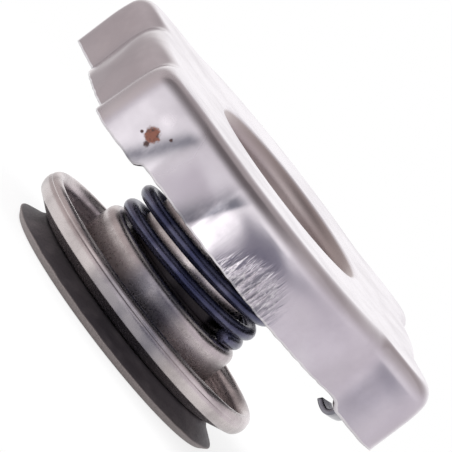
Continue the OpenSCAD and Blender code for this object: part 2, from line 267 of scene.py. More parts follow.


# Bright plated sheet: faint clouds, fine lines up the skirt, deep and dirty draw marks by the near edge, a duller
# dish whose darker, browner colour is painted shade in the recess, and on a rubbed lobe one rust patch with dark
# flecks. A darker colour lies where the piece's attribute says: partly stain, partly painted shade in the lobe's
# groove and along the crease, and on the tangs. Places are (x, y, z) and a radius.
platedSteel = dict(bright=(0.64, 0.61, 0.635), dull=(0.57, 0.54, 0.565), dish=(0.50, 0.44, 0.43),
                   rust=(0.20, 0.075, 0.05), burnt=(0.06, 0.03, 0.028), stainAndShade=(0.13, 0.13, 0.155),
                   rubbedAt=((-24.0, -20.5, 24.0), 9.0), polishedAt=((-23.0, -20.9, 25.9), 1.7),
                   rustAt=((-22.8, -21.0, 23.0), 1.2),
                   fleckAt=(((-20.9, -21.7, 24.5), 0.32), ((-23.9, -20.6, 22.2), 0.28), ((-22.4, -21.2, 21.7), 0.5)),
                   marksAt=((-0.4, -28.6, 19.6), 6.8), dirtyMarks=0.8, dishRadius=14.0, clouds=120, grain=2600,
                   lines=1500, rough=(0.16, 0.24), dishRough=0.22, rubbedRough=0.13, wornRough=0.3)


def makePlatedSteel():
    s = platedSteel
    finish = Finish("platedSteel")
    cloud = finish.noise(s["clouds"], detail=5)
    grain = finish.noise(s["grain"], detail=3)
    lines = finish.noise(s["lines"], detail=4, rough=0.65, place=finish.scaled((1, 1, 0.05)))
    marks = finish.noise(s["lines"], detail=3, rough=0.6, place=finish.scaled((1, 1, 0.13)))
    ragged = finish.noise(s["lines"], detail=5, rough=0.7)
    markedAt = finish.spot(*s["marksAt"], inner=0.1)
    marked = finish.math("MULTIPLY", markedAt, finish.span(marks, 0.36, 0.66, -0.5, 0.5))
    colour = finish.mix(finish.span(cloud, 0.4, 0.68), s["bright"], s["dull"])
    dirty = finish.math("MULTIPLY", markedAt, finish.span(marks, 0.38, 0.56, s["dirtyMarks"], 0))
    colour = finish.mix(dirty, colour, s["stainAndShade"])
    flat = finish.node("ShaderNodeVectorMath", operation="LENGTH")
    finish.feed(finish.scaled((1, 1, 0)), flat.inputs[0])
    inDish = finish.span(flat.outputs["Value"], (s["dishRadius"] - 0.5) * mm, s["dishRadius"] * mm, 1, 0)
    # Painted shade: the dish is darker and browner than the sheet, as the recess lies in shade
    colour = finish.mix(inDish, colour, s["dish"])
    smudge = finish.noise(520, detail=4, rough=0.6, place=finish.scaled((1, 1, 0.5)))
    # Darker where the attribute says: partly stain, partly painted shade in the groove and the crease
    stainAndShadeShares = finish.node("ShaderNodeAttribute", attribute_name="stainAndShade").outputs["Fac"]
    stainedAndShaded = finish.math("MULTIPLY", stainAndShadeShares, finish.span(smudge, 0.3, 0.6, 0.7, 1.0))
    colour = finish.mix(stainedAndShaded, colour, s["stainAndShade"])
    rubbed = finish.math("SUBTRACT", finish.spot(*s["rubbedAt"], inner=0.6), finish.spot(*s["polishedAt"], inner=0.0))
    rusty = finish.spot(*s["rustAt"], inner=0.7, ragged=ragged)
    colour = finish.mix(rusty, colour, finish.mix(finish.span(ragged, 0.45, 0.6), s["rust"], s["burnt"]))
    worn = rusty
    fine = finish.noise(4200, detail=4, rough=0.7)
    for place, radius in s["fleckAt"]:
        fleck = finish.spot(place, radius, inner=0.5, ragged=fine)
        colour = finish.mix(fleck, colour, s["burnt"])
        worn = finish.math("MAXIMUM", worn, fleck)
    rough = finish.span(cloud, 0.3, 0.75, *s["rough"])
    for share, more in ((inDish, s["dishRough"]), (rubbed, s["rubbedRough"]), (worn, s["wornRough"])):
        rough = finish.math("ADD", rough, finish.math("MULTIPLY", share, more))
    finish.set(**{"Base Color": colour, "Roughness": rough,
                  "Metallic": finish.math("SUBTRACT", 1, finish.math("MULTIPLY", worn, 0.95))})
    upSkirt = finish.math("MULTIPLY", lines, finish.math("SUBTRACT", 1, inDish))
    finish.bumps((finish.noise(190, detail=2), 0.07, 0.5), (marked, 1.0, 0.2), (upSkirt, 0.09, 0.04),
                 (grain, 0.05, 0.03), (worn, 0.15, 0.05))
    return finish.material


# Satin steel of the valve: brownish, grainy, with fine lines that run round, and darkened in a few stretches round
# the axis, each given by its middle and its inner and outer half width in degrees: a painted dark reflection, the
# stretch at 255 degrees facing the camera where the studio's dark gap would show. On the bell, painted shade darkens
# what lies below a given height instead, where the cup and the spring's first turn shade it.
warmSteel = dict(light=(0.60, 0.545, 0.54), dark=(0.38, 0.34, 0.34), paintedBellShade=(0.025, 0.022, 0.024),
                 paintedDarkReflection=(0.18, 0.172, 0.20), paintedDarkReflectionAt=((255.0, 6.0, 25.0), (82.0, 5.0, 28.0)), paintedShadeRise=2.0,
                 clouds=170, grain=3000, lines=5200, rough=(0.2, 0.3))


def makeWarmSteel(name, paintedShadeTop=None):
    s = warmSteel
    finish = Finish(name)
    cloud = finish.noise(s["clouds"], detail=5)
    grain = finish.noise(s["grain"], detail=4, rough=0.7)
    split = finish.node("ShaderNodeSeparateXYZ")
    finish.feed(finish.place, split.inputs[0])
    x, y, z = split.outputs
    radius = finish.math("SQRT", finish.math("ADD", finish.math("MULTIPLY", x, x), finish.math("MULTIPLY", y, y)))
    ring = finish.node("ShaderNodeCombineXYZ")
    finish.feed(radius, ring.inputs[0])
    finish.feed(z, ring.inputs[2])
    lines = finish.noise(s["lines"], detail=2, place=ring.outputs[0])
    colour = finish.mix(finish.span(cloud, 0.38, 0.7), s["light"], s["dark"])
    colour = finish.mix(finish.span(grain, 0.5, 0.75, 0, 0.1), colour, s["dark"])
    if paintedShadeTop is None:
        outward = finish.node("ShaderNodeVectorMath", operation="NORMALIZE")
        finish.feed(finish.scaled((1, 1, 0)), outward.inputs[0])
        # Painted dark reflection: each stretch darkens the side that faces its middle angle
        for middle, inner, outer in s["paintedDarkReflectionAt"]:
            facing = finish.node("ShaderNodeVectorMath", operation="DOT_PRODUCT")
            finish.feed(outward.outputs["Vector"], facing.inputs[0])
            middle, inner, outer = (math.radians(v) for v in (middle, inner, outer))
            facing.inputs[1].default_value = (math.cos(middle), math.sin(middle), 0)
            near = finish.span(facing.outputs["Value"], math.cos(outer), math.cos(inner))
            near = finish.math("MULTIPLY", near, finish.span(cloud, 0.35, 0.6, 0.7, 1.0))
            colour = finish.mix(near, colour, s["paintedDarkReflection"])
    else:
        # Painted shade: the bell is dark below the given height, where the cup and the spring's first turn shade it
        level = finish.math("ADD", z, finish.math("MULTIPLY", cloud, 0.6 * mm))
        low = finish.span(level, (paintedShadeTop - 0.2) * mm, (paintedShadeTop + 0.9) * mm, 1, 0)
        colour = finish.mix(low, colour, s["paintedBellShade"])
    rough = finish.math("ADD", finish.span(grain, 0.3, 0.7, *s["rough"]), finish.span(cloud, 0.3, 0.7, 0, 0.06))
    finish.set(**{"Base Color": colour, "Roughness": rough, "Metallic": 1.0})
    finish.bumps((grain, 0.015, 0.03), (lines, 0.03, 0.04), (finish.noise(420, detail=2), 0.1, 0.12))
    return finish.material


# Plain satin metals: spring steel of the hidden discs and washers, brass of the vacuum valve
springSteel = dict(light=(0.55, 0.55, 0.555), dark=(0.40, 0.40, 0.405), clouds=220, grain=2800, rough=(0.26, 0.38))
satinBrass = dict(light=(0.62, 0.47, 0.23), dark=(0.42, 0.31, 0.16), clouds=300, grain=3000, rough=(0.25, 0.4))


def makePlainMetal(name, s):
    finish = Finish(name)
    cloud = finish.noise(s["clouds"], detail=5)
    grain = finish.noise(s["grain"], detail=3)
    finish.set(**{"Base Color": finish.mix(finish.span(cloud, 0.4, 0.7), s["light"], s["dark"]),
                  "Roughness": finish.span(grain, 0.3, 0.7, *s["rough"]), "Metallic": 1.0})
    finish.bumps((grain, 0.1, 0.03))
    return finish.material


# Blued spring wire: dark navy with paler worn patches
bluedWire = dict(deep=(0.036, 0.039, 0.085), pale=(0.11, 0.11, 0.175), worn=(0.30, 0.29, 0.32), clouds=190,
                 grain=2400, rough=(0.2, 0.32))


def makeBluedWire():
    s = bluedWire
    finish = Finish("bluedWire")
    cloud = finish.noise(s["clouds"], detail=4)
    grain = finish.noise(s["grain"], detail=4, rough=0.65)
    colour = finish.mix(finish.span(cloud, 0.35, 0.7), s["deep"], s["pale"])
    colour = finish.mix(finish.math("MULTIPLY", finish.span(grain, 0.6, 0.74), finish.span(cloud, 0.5, 0.65)),
                        colour, s["worn"])
    finish.set(**{"Base Color": colour, "Roughness": finish.span(grain, 0.3, 0.7, *s["rough"]), "Metallic": 0.85})
    finish.bumps((grain, 0.1, 0.03))
    return finish.material


# Moulded black rubber with a dusty bloom. On the gasket, a paler colour lies below the height of the lip, on its bevel:
# a painted highlight for the light the bevel takes from the floor.
blackRubber = dict(deep=(0.030, 0.025, 0.029), bloom=(0.105, 0.09, 0.094), paintedBevelLight=(0.25, 0.215, 0.21), lipHeight=0.95,
                   clouds=260, grain=3200, rough=(0.48, 0.66))


def makeBlackRubber(name, lift, paintBevelLight):
    s = blackRubber
    finish = Finish(name)
    cloud = finish.noise(s["clouds"], detail=5)
    grain = finish.noise(s["grain"], detail=4, rough=0.7)
    colour = finish.mix(finish.span(cloud, 0.42, 0.78, 0, lift), s["deep"], s["bloom"])
    # Painted highlight: the bevel below the lip is paler, as if lit from the floor
    if paintBevelLight:
        split = finish.node("ShaderNodeSeparateXYZ")
        finish.feed(finish.place, split.inputs[0])
        height = finish.math("ADD", split.outputs[2], finish.math("MULTIPLY", cloud, 0.3 * mm))
        low = finish.span(height, (s["lipHeight"] + 0.1) * mm, (s["lipHeight"] + 0.3) * mm, 1, 0)
        colour = finish.mix(finish.math("MULTIPLY", low, finish.span(grain, 0.2, 0.8, 0.6, 1.0)), colour, s["paintedBevelLight"])
    finish.set(**{"Base Color": colour, "Roughness": finish.span(grain, 0.3, 0.7, *s["rough"])})
    finish.bumps((grain, 0.15, 0.04), (finish.noise(600, detail=2), 0.12, 0.08))
    return finish.material


plated = makePlatedSteel()
warm = makeWarmSteel("warmSteel")
# The bell's steel carries painted shade below the cup's top plus a rise
shadedBellSteel = makeWarmSteel("bellSteelPaintedShade", topOf("spring_cup") + warmSteel["paintedShadeRise"])
springy = makePlainMetal("springSteel", springSteel)
blued = makeBluedWire()
gasketRubber = makeBlackRubber("gasketRubber", 0.5, True)
sealRubber = makeBlackRubber("sealRubber", 0.6, False)
brass = makePlainMetal("satinBrass", satinBrass)
print("materials made:", len(bpy.data.materials))


# Cap shell: the radius of the skirt is the body's plus four lobes, each a bell curve exp(-(turn / width)^2) that is
# cut off softly at its foot by soft log(1 + exp(x / soft)), and the section goes up the skirt, over the edge, down
# into the dish and back inside the sheet. The skirt hangs lower by lobeDrop all along both ears, and goes in by
# taper times the square of the height above taperFrom.
shell = dict(bodyRadius=28.6, lobeRise=6.0, lobeAngle=34.0, lobeWidth=12.4, lobeFoot=0.25, footSoft=0.045,
             lobeDrop=0.9, earEnd=(44.8, 46.6), skirtHeight=10.2, sheet=1.0, edgeRadius=2.8, dishRadius=12.6,
             dishDepth=4.0, dishEdge=2.1, rivetHole=2.55, around=640, ripple=0.03, ragged=0.05, taper=0.027,
             taperFrom=24.4)

# The near left lobe is lower than the rest. A plane cuts its flank and another one lies along the body up to a
# crease, each with radius = distance / cos(angle - facing), joined by soft least and greatest values.
flats = dict(lobe=3, lobeScale=0.87, lobeWidth=16.5, flank=(251.0, 27.4), flankEnd=236.0, facet=(243.2, 28.65),
             start=(200.0, 206.0), facetFrom=214.0, crease=(245.6, 249.2), soft=0.25, facetSoft=0.04)

# That lobe leans in towards the top, by a bell curve of the angle times the height above the skirt's foot
lean = dict(angle=213.0, width=15.0, top=0.35, foot=19.5, height=8.0)

# Darker colour, partly stain and partly painted shade in these concave places, by bell curves of the distance from the
# foot of that lobe and from the crease, two lines that turn with height
stainAndShade = dict(foot=226.6, footSlant=0.72, footWidth=1.1, footShare=0.85, crease=247.4, creaseSlant=0.74, creaseLeft=2.4,
             creaseRight=0.4, creaseShare=0.95, atHeight=23.6, fadeFrom=26.4, fadeTo=28.6)


# Share of the lobes' rise at each angle
def lobeShare(angle):
    middles = np.radians([shell["lobeAngle"], -shell["lobeAngle"], 180 - shell["lobeAngle"], 180 + shell["lobeAngle"]])
    turn = np.angle(np.exp(1j * (angle[:, None] - middles)))
    wide = np.full(turn.shape, shell["lobeWidth"])
    wide[turn[:, flats["lobe"]] > 0, flats["lobe"]] = flats["lobeWidth"]
    bell = np.exp(-(turn / np.radians(wide)) ** 2)
    soft = shell["footSoft"]
    share = soft * np.log1p(np.exp((bell - shell["lobeFoot"]) / soft)) / (1 - shell["lobeFoot"])
    share[:, flats["lobe"]] *= flats["lobeScale"]
    return share.sum(axis=1)


# The outline with the near left lobe's flank and facet cut by their planes
def flattened(angle, radius):
    s = flats
    degrees = np.degrees(angle) % 360

    def plane(facing, distance):
        return distance / np.maximum(np.cos(np.radians(degrees - facing)), 0.3)

    flank, facet = plane(*s["flank"]), plane(*s["facet"])
    gap = np.log1p(np.exp(-np.abs(radius - flank) / s["soft"]))
    cut = np.where(degrees < s["flankEnd"], np.minimum(radius, flank) - s["soft"] * gap, radius)
    gap = np.log1p(np.exp(-np.abs(cut - facet) / s["facetSoft"]))
    laid = np.maximum(cut, facet) + s["facetSoft"] * gap
    near = ease(degrees, *s["start"]) * (1 - ease(degrees, *s["crease"]))
    return radius + near * (np.where(degrees > s["facetFrom"], laid, cut) - radius)


# Shallow unevenness of the pressing: a few slow waves round the skirt and up its height
def skirtRipple(angle, height):
    return shell["ripple"] * (np.sin(7 * angle + 0.4 * height) + 0.7 * np.sin(13 * angle - 0.7 * height + 1.0)
                              + 0.5 * np.sin(23 * angle + 0.9 * height + 2.0))


# What the pressing adds to the radius: the waves, less the leaning lobe's share
def pressed(angle, height):
    s = lean
    turn = (np.degrees(angle) % 360 - s["angle"]) / s["width"]
    leanIn = s["top"] * np.exp(-turn ** 2) * (height - s["foot"]) / s["height"]
    return skirtRipple(angle, height) - leanIn


# Share of stain and painted shade: the greater of the two bell curves, fading out below the top edge
def stainAndShadeShare(angle, height):
    s = stainAndShade
    degrees = np.degrees(angle) % 360
    perDegree = np.radians(shell["bodyRadius"])
    above = height - s["atHeight"]
    fromFoot = perDegree * (degrees - s["foot"] - s["footSlant"] * above)
    fromCrease = perDegree * (degrees - s["crease"] - s["creaseSlant"] * above)
    wide = np.where(fromCrease < 0, s["creaseLeft"], s["creaseRight"])
    share = np.maximum(s["footShare"] * np.exp(-(fromFoot / s["footWidth"]) ** 2),
                       s["creaseShare"] * np.exp(-(fromCrease / wide) ** 2))
    return share * (1 - ease(height, s["fadeFrom"], s["fadeTo"]))


def makeCapShell():
    s = shell
    angle = np.linspace(0, fullTurn, s["around"], endpoint=False)
    share = lobeShare(angle)
    outline = flattened(angle, s["bodyRadius"] + s["lobeRise"] * share)
    shellTop = topOf("cap_shell")
    fromEar = np.abs((np.degrees(angle) + 90) % 180 - 90)
    edge = shellTop - s["skirtHeight"] - s["lobeDrop"] * (1 - ease(fromEar, *s["earEnd"]))
    edge = edge + s["ragged"] * (np.sin(31 * angle) * np.sin(17 * angle + 1) + 0.6 * np.sin(83 * angle + 2))
    dishFloor = shellTop - s["dishDepth"]
    sheet = s["sheet"]

    def side(inset, roundRadius, crown, count):
        f = np.linspace(0, 1, count)[:, None]
        first = np.arctan(2 * s["taper"] * (crown - roundRadius - s["taperFrom"]))
        start = crown - roundRadius * (1 - np.sin(first))
        height = edge + f * (start - edge)

        def wallAt(z):
            return outline - inset + pressed(angle, z) - s["taper"] * np.maximum(z - s["taperFrom"], 0) ** 2

        q = np.linspace(first, 0.25 * fullTurn, 15)[1:, None]
        over = wallAt(start + 0 * angle) - roundRadius * (np.cos(first) - np.cos(q))
        rise = crown - roundRadius * (1 - np.sin(q)) + 0 * over
        return np.concatenate([wallAt(height), over]), np.concatenate([height, rise])

    def dish(offset):  # offset: 0 for the upper face, the sheet's thickness for the lower one
        corner = (s["dishRadius"] + s["dishEdge"], shellTop - s["dishEdge"])
        heel = (s["dishRadius"] - sheet, dishFloor + sheet)
        line = np.concatenate([arcPoints(corner, s["dishEdge"] - offset, 90, 180, 14),
                               arcPoints(heel, sheet + offset, 0, -90, 10),
                               [[0.6 * heel[0], dishFloor - offset], [s["rivetHole"] + 0.2, dishFloor - offset],
                                [s["rivetHole"], dishFloor - 0.5 * sheet + 0.8 * (0.5 * sheet - offset)]]])
        return line[:, 0, None] + 0 * angle, line[:, 1, None] + 0 * angle

    def crossing(rim, inner, crown, count):  # the flat top, from the lobed edge in to the round dish
        f = np.linspace(0, 1, count)[1:-1, None]
        return rim + f * (inner - rim), crown + 0 * f * rim

    rOut, zOut = side(0, s["edgeRadius"], shellTop, 32)
    rDish, zDish = dish(0)
    rTop, zTop = crossing(rOut[-1], rDish[0], shellTop, 16)
    rIn, zIn = side(sheet, s["edgeRadius"] - sheet, shellTop - sheet, 10)
    rUnder, zUnder = dish(sheet)
    rCeil, zCeil = crossing(rIn[-1], rUnder[0], shellTop - sheet, 8)
    lip = outline - 0.5 * sheet + pressed(angle, edge)
    radius = np.concatenate([lip[None], rOut, rTop, rDish, rUnder[::-1], rCeil[::-1], rIn[::-1]])
    height = np.concatenate([edge[None] - 0.12 * sheet, zOut, zTop, zDish, zUnder[::-1], zCeil[::-1], zIn[::-1]])
    grid = np.stack([radius * np.cos(angle), radius * np.sin(angle), height], axis=-1)
    piece = gridPiece("capShell", grid, True)
    # Stain and painted shade on the outer skirt, along the lobe's foot and the crease
    stainAndShadeShares = np.zeros(radius.shape)
    stainAndShadeShares[1:1 + len(rOut)] = stainAndShadeShare(angle, zOut)
    layStainAndShade(piece, stainAndShadeShares)
    return dress(piece, "cap", "cap_shell", plated)


# Locking tangs: a strip that runs down from the skirt, curls through a quarter turn and goes inwards, its tip
# bent up a little. The line is carried round each ear's middle, and the short stop at one end hangs lower.
tang = dict(strips=((-30.0, 38.0, 0.3), (150.0, 218.0, 0.3), (-38.0, -28.0, 2.8)), curl=0.6, reach=1.6, tipRise=0.45,
            root=2.0, sheet=0.8, inset=0.1, edge=0.15, around=40, stainAndShade=0.9)


def makeTangs():
    s = tang
    skirtEdge = topOf("cap_shell") - shell["skirtHeight"]
    wall = shell["bodyRadius"] - s["inset"] - 0.5 * s["sheet"]
    bend = s["curl"] + 0.5 * s["sheet"]
    f = np.linspace(0, 1, 7)[1:]
    sheets = []
    for first, last, drop in s["strips"]:
        heel = np.array([wall - bend, skirtEdge - drop + 0.5 * s["sheet"] + bend])
        down = np.stack([0 * f + wall, skirtEdge + s["root"] + f * (heel[1] - skirtEdge - s["root"])], axis=1)
        curl = arcPoints(heel, bend, 0, -90, 12)[1:]
        tip = np.stack([heel[0] - f * s["reach"], heel[1] - bend + s["tipRise"] * f ** 2], axis=1)
        line = np.concatenate([down, curl, tip])
        angle = np.radians(np.linspace(first, last, s["around"]))
        radius, height = line[:, 0, None], line[:, 1, None]
        sheets.append(np.stack([radius * np.cos(angle), radius * np.sin(angle), height + 0 * angle], axis=-1))
    grid = np.stack(sheets)
    index = np.arange(grid[..., 0].size).reshape(grid.shape[:3])
    faces = np.stack([index[:, :-1, :-1], index[:, 1:, :-1], index[:, 1:, 1:], index[:, :-1, 1:]], axis=-1)
    piece = meshPiece("lockingTangs", grid.reshape(-1, 3), faces.reshape(-1, 4).tolist())
    # The tangs take the darker colour nearly all over: partly stain, partly painted shade under the skirt's edge
    layStainAndShade(piece, np.full(index.size, s["stainAndShade"]))
    wallMod = piece.modifiers.new("sheet", "SOLIDIFY")
    wallMod.thickness = s["sheet"] * mm
    wallMod.offset = 0
    edgeMod = piece.modifiers.new("edges", "BEVEL")
    edgeMod.width = s["edge"] * mm
    edgeMod.segments = 2
    edgeMod.limit_method = "ANGLE"
    return dress(piece, "cap", "cap_shell", plated)


makeCapShell()
makeTangs()
print("cap shell made")


# Pressure spring: radius (cos a, sin a) and a height that stays flat for the first half turn and then climbs evenly,
# its change of slope smoothed by a running mean. Between its ends the coil leans, by lean cos(a - leanTo).
coil = dict(wire=2.0, turns=4.2, flat=0.5, start=-48.0, lean=0.33, leanTo=345.0, stepsPerTurn=90, sides=24,
            clearance=0.06, cupFoot=1.8, ledge=0.65, leanFrom=(0.3, 0.8), leanUntil=(0.9, 0.4), pressed=0.70)


def makePressureSpring():
    s = coil
    radius = reachOf("spring_cup") - s["cupFoot"] - s["ledge"] - 0.5 * s["wire"]
    low = topOf("spring_cup") + s["clearance"] + 0.5 * s["wire"]
    high = topOf("bell") - s["clearance"] - 0.5 * s["wire"]
    t = np.linspace(0, s["turns"], int(s["turns"] * s["stepsPerTurn"]) + 1)
    climb = (high - low) * np.maximum(t - s["flat"], 0) / (s["turns"] - s["flat"])
    window = s["stepsPerTurn"] // 3 | 1
    padded = np.pad(climb, window // 2, mode="reflect", reflect_type="odd")
    climb = np.convolve(padded, np.ones(window) / window, mode="valid")
    a = np.radians(s["start"]) + fullTurn * t
    inside = ease(t, *s["leanFrom"]) * (1 - ease(t, *(s["turns"] - v for v in s["leanUntil"])))
    climb = climb + s["lean"] * inside * np.cos(a - np.radians(s["leanTo"]))
    path = np.stack([radius * np.cos(a), radius * np.sin(a), low + climb], axis=1)
    piece = gridPiece("pressureSpring", wireGrid(path, 0.5 * s["wire"], s["sides"]), False)
    dress(piece, "carrier", "pressure_spring", blued)
    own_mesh(piece)


# Vacuum spring: a cone of wire, its radius and height changing evenly along the turns
smallCoil = dict(wire=0.6, turns=3.5, wide=7.85, narrow=2.8, stepsPerTurn=60, sides=12, clearance=0.06, pressed=0.5)


def makeVacuumSpring():
    s = smallCoil
    low = topOf("clamp_plate") + s["clearance"] + 0.5 * s["wire"]
    high = footOf("stem_washer") - s["clearance"] - 0.5 * s["wire"]
    f = np.linspace(0, 1, int(s["turns"] * s["stepsPerTurn"]) + 1)
    a = fullTurn * s["turns"] * f
    radius = s["wide"] + (s["narrow"] - s["wide"]) * f
    path = np.stack([radius * np.cos(a), radius * np.sin(a), low + (high - low) * f], axis=1)
    piece = gridPiece("vacuumSpring", wireGrid(path, 0.5 * s["wire"], s["sides"]), False)
    dress(piece, "pressure_valve", "vacuum_spring", springy)
    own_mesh(piece)


makePressureSpring()
makeVacuumSpring()
print("springs wound")


# Valve plate: flat floor, a wall that leans out and touches the rolled bead of the rim. The bead is a circle, stretched
# upright by half the band, whose radius dips by depth exp(-((angle - hem) / width)^2) where its hem shows as a line.
plate = dict(sheet=0.8, bead=1.1, band=1.05, baseRadius=17.0, hole=7.15, hemAt=24.0, hemDepth=0.07, hemWidth=6.0,
             beadPoints=72, around=224)


def makeValvePlate():
    s = plate
    under, rim, crest = footOf("valve_plate"), reachOf("valve_plate"), topOf("valve_plate")
    tall = s["bead"] + 0.5 * s["band"]
    centre = np.array([rim - s["bead"], crest - tall])
    base = np.array([s["baseRadius"], under])
    slope = np.arctan2(*(centre - base)[::-1]) - np.arcsin(s["bead"] / np.linalg.norm(centre - base))
    back = s["bead"] - s["sheet"]
    stop = 180 + np.degrees(slope + np.arctan2(back, np.sqrt(s["bead"] ** 2 - back ** 2)))
    a = np.linspace(np.degrees(slope) - 90, stop, s["beadPoints"])
    groove = s["hemDepth"] * np.exp(-((a - s["hemAt"]) / s["hemWidth"]) ** 2)
    bead = (arcPoints(centre, s["bead"], a[0], stop, s["beadPoints"]) - centre) * (1 - groove / s["bead"])[:, None]
    bead = centre + bead * [1, tall / s["bead"]]
    inset = np.tan(0.5 * slope) * s["sheet"]
    upper = under + s["sheet"]
    corners = [(s["hole"], under), (s["baseRadius"], under), *bead,
               (s["baseRadius"] - inset, upper), (s["hole"], upper)]
    bends = [0.1, 1.2, *(0 * bead[:, 0]), 0.8, 0.1]
    piece = gridPiece("valvePlate", turnedGrid(softOutline(corners, bends), s["around"]), True)
    return dress(piece, "pressure_valve", "valve_plate", warm)


# Pieces turned from a short list of corners (radius, height), with the bend at each corner
turned = dict(around=256, hidden=128)


def turnedPiece(name, body, node, material, corners, bends, closed=True, around=turned["around"]):
    line = softOutline(corners, bends, closed)
    if not closed:  # the ends on the axis become the points that close the grid
        line = line[1:-1]
    return dress(gridPiece(name, turnedGrid(line, around), closed), body, node, material)


# Spring cup: an outturned foot, a wall with a fillet, and a roof with a soft shoulder
cup = dict(sheet=0.8, foot=1.8, shoulder=1.9, footFillet=1.5, hole=9.4)


def makeSpringCup():
    s = cup
    foot, crown, reach = footOf("spring_cup"), topOf("spring_cup"), reachOf("spring_cup")
    wall = reach - s["foot"]
    inner = wall - s["sheet"]
    corners = [(inner, foot), (reach, foot), (reach, foot + s["sheet"]), (wall, foot + s["sheet"]), (wall, crown),
               (s["hole"], crown), (s["hole"], crown - s["sheet"]), (inner, crown - s["sheet"])]
    bends = [0.3, 0.15, 0.3, s["footFillet"], s["shoulder"], 0.25, 0.15, 1.5]
    turnedPiece("springCup", "pressure_valve", "spring_cup", warm, corners, bends)


# Gasket: a flat web, a waist and a lip that flares out, bevelled down to the sole it stands on
gasket = dict(bore=7.15, seatRadius=17.0, waist=(17.9, 2.0), lipHeight=0.95, soleRadius=19.3, soleWidth=4.0, lean=0.95,
              web=1.0)


def makeGasket():
    s = gasket
    top, lip = topOf("pressure_gasket"), reachOf("pressure_gasket")
    heel = s["soleRadius"] - s["soleWidth"]
    corners = [(s["bore"], top), (s["seatRadius"], top), s["waist"], (lip, s["lipHeight"]), (s["soleRadius"], 0),
               (heel, 0), (heel - s["lean"], top - s["web"]), (s["bore"], top - s["web"])]
    bends = [0.1, 0.3, 0.9, 0.12, 0.3, 0.4, 0.3, 0.1]
    turnedPiece("pressureGasket", "pressure_valve", "pressure_gasket", gasketRubber, corners, bends)


# Bell: a roof on the rivet, a straight tube and an outturned foot
bellShape = dict(radius=9.1, sheet=0.8, roofBend=2.6, bore=2.55)


def makeBell():
    s = bellShape
    foot, crown, reach = footOf("bell"), topOf("bell"), reachOf("bell")
    inner = s["radius"] - s["sheet"]
    corners = [(s["bore"], crown - s["sheet"]), (inner, crown - s["sheet"]), (inner, foot), (reach, foot),
               (reach, foot + s["sheet"]), (s["radius"], foot + s["sheet"]), (s["radius"], crown), (s["bore"], crown)]
    bends = [0.1, s["roofBend"] - s["sheet"], 0.6, 0.3, 0.3, 0.3, s["roofBend"], 0.1]
    turnedPiece("guideBell", "carrier", "bell", shadedBellSteel, corners, bends)


# Neck disc: a flat middle, a step down by the sag and a flat rim, with the neck seal under it
neck = dict(bore=2.55, flat=14.4, sealWidth=3.6, sheet=0.4)


def makeNeckDiscAndSeal():
    s = neck
    reach, top, foot = reachOf("neck_disc"), topOf("neck_disc"), footOf("neck_disc")
    shoulder = reach - s["sealWidth"]
    sag = top - s["sheet"] - foot
    corners = [(s["bore"], top - s["sheet"]), (s["flat"], top - s["sheet"]), (shoulder, foot), (reach, foot),
               (reach, top - sag), (shoulder, top - sag), (s["flat"], top), (s["bore"], top)]
    turnedPiece("neckDisc", "carrier", "neck_disc", springy, corners,
                [0.05, 1.5, 1.5, 0.1, 0.1, 1.5, 1.5, 0.05])
    top, foot = topOf("neck_seal"), footOf("neck_seal")
    corners = [(shoulder, foot), (reach, foot), (reach, top), (shoulder, top)]
    turnedPiece("neckSeal", "carrier", "neck_seal", sealRubber, corners, [0.35, 0.35, 0.1, 0.1])


# Rivet: a shank, a swaged foot and a domed head, whose radius is (head^2 + height^2) / (2 height)
rivet = dict(shank=2.5, head=4.6, headHeight=1.4, footHeight=1.0, washerBore=2.55)


def makeRivetAndWasher():
    s = rivet
    top, foot = topOf("centre_rivet"), footOf("centre_rivet")
    headFoot, heel = top - s["headHeight"], footOf("rivet_washer")
    dome = (s["head"] ** 2 + s["headHeight"] ** 2) / (2 * s["headHeight"])
    sweep = np.degrees(np.arcsin(s["head"] / dome))
    cap = arcPoints((0, top - dome), dome, 90 - sweep, 90, 16)
    corners = [(0, foot), (s["head"] - s["footHeight"], foot), (s["head"], heel), (s["shank"], heel),
               (s["shank"], headFoot), *cap]
    bends = [0, 0.4, 0.15, 0.1, 0.1, 0.25, *(0 * cap[1:, 0])]
    turnedPiece("centreRivet", "carrier", "centre_rivet", plated, corners, bends, closed=False)
    washerRing("rivetWasher", "carrier", "rivet_washer", springy, s["washerBore"])


# A plain ring: a rectangle with softened corners, turned about the axis
def washerRing(name, body, node, material, bore):
    top, foot, reach = topOf(node), footOf(node), reachOf(node)
    corners = [(bore, foot), (reach, foot), (reach, top), (bore, top)]
    turnedPiece(name, body, node, material, corners, 0.12, around=turned["hidden"])


# Clamp plate: a flat plate under the gasket, a tube up through it, and the tube's end turned over
clamp = dict(sheet=0.6, tube=7.1, under=1.9, above=3.7, plateReach=13.0)


def makeClampPlate():
    s = clamp
    foot, top = footOf("clamp_plate"), topOf("clamp_plate")
    inner, flange = s["tube"] - s["sheet"], s["tube"] + 1.5
    corners = [(inner, foot), (s["plateReach"], foot), (s["plateReach"], s["under"]), (s["tube"], s["under"]),
               (s["tube"], s["above"]), (flange, s["above"]), (flange, top), (inner, top)]
    turnedPiece("clampPlate", "pressure_valve", "clamp_plate", warm, corners,
                [0.5, 0.2, 0.2, 0.1, 0.1, 0.15, 0.2, 0.4])


# Vacuum valve: a disc with its stem, a seal on it and a washer at the stem's end
vacuum = dict(discSheet=0.5, stem=1.3, bore=1.35)


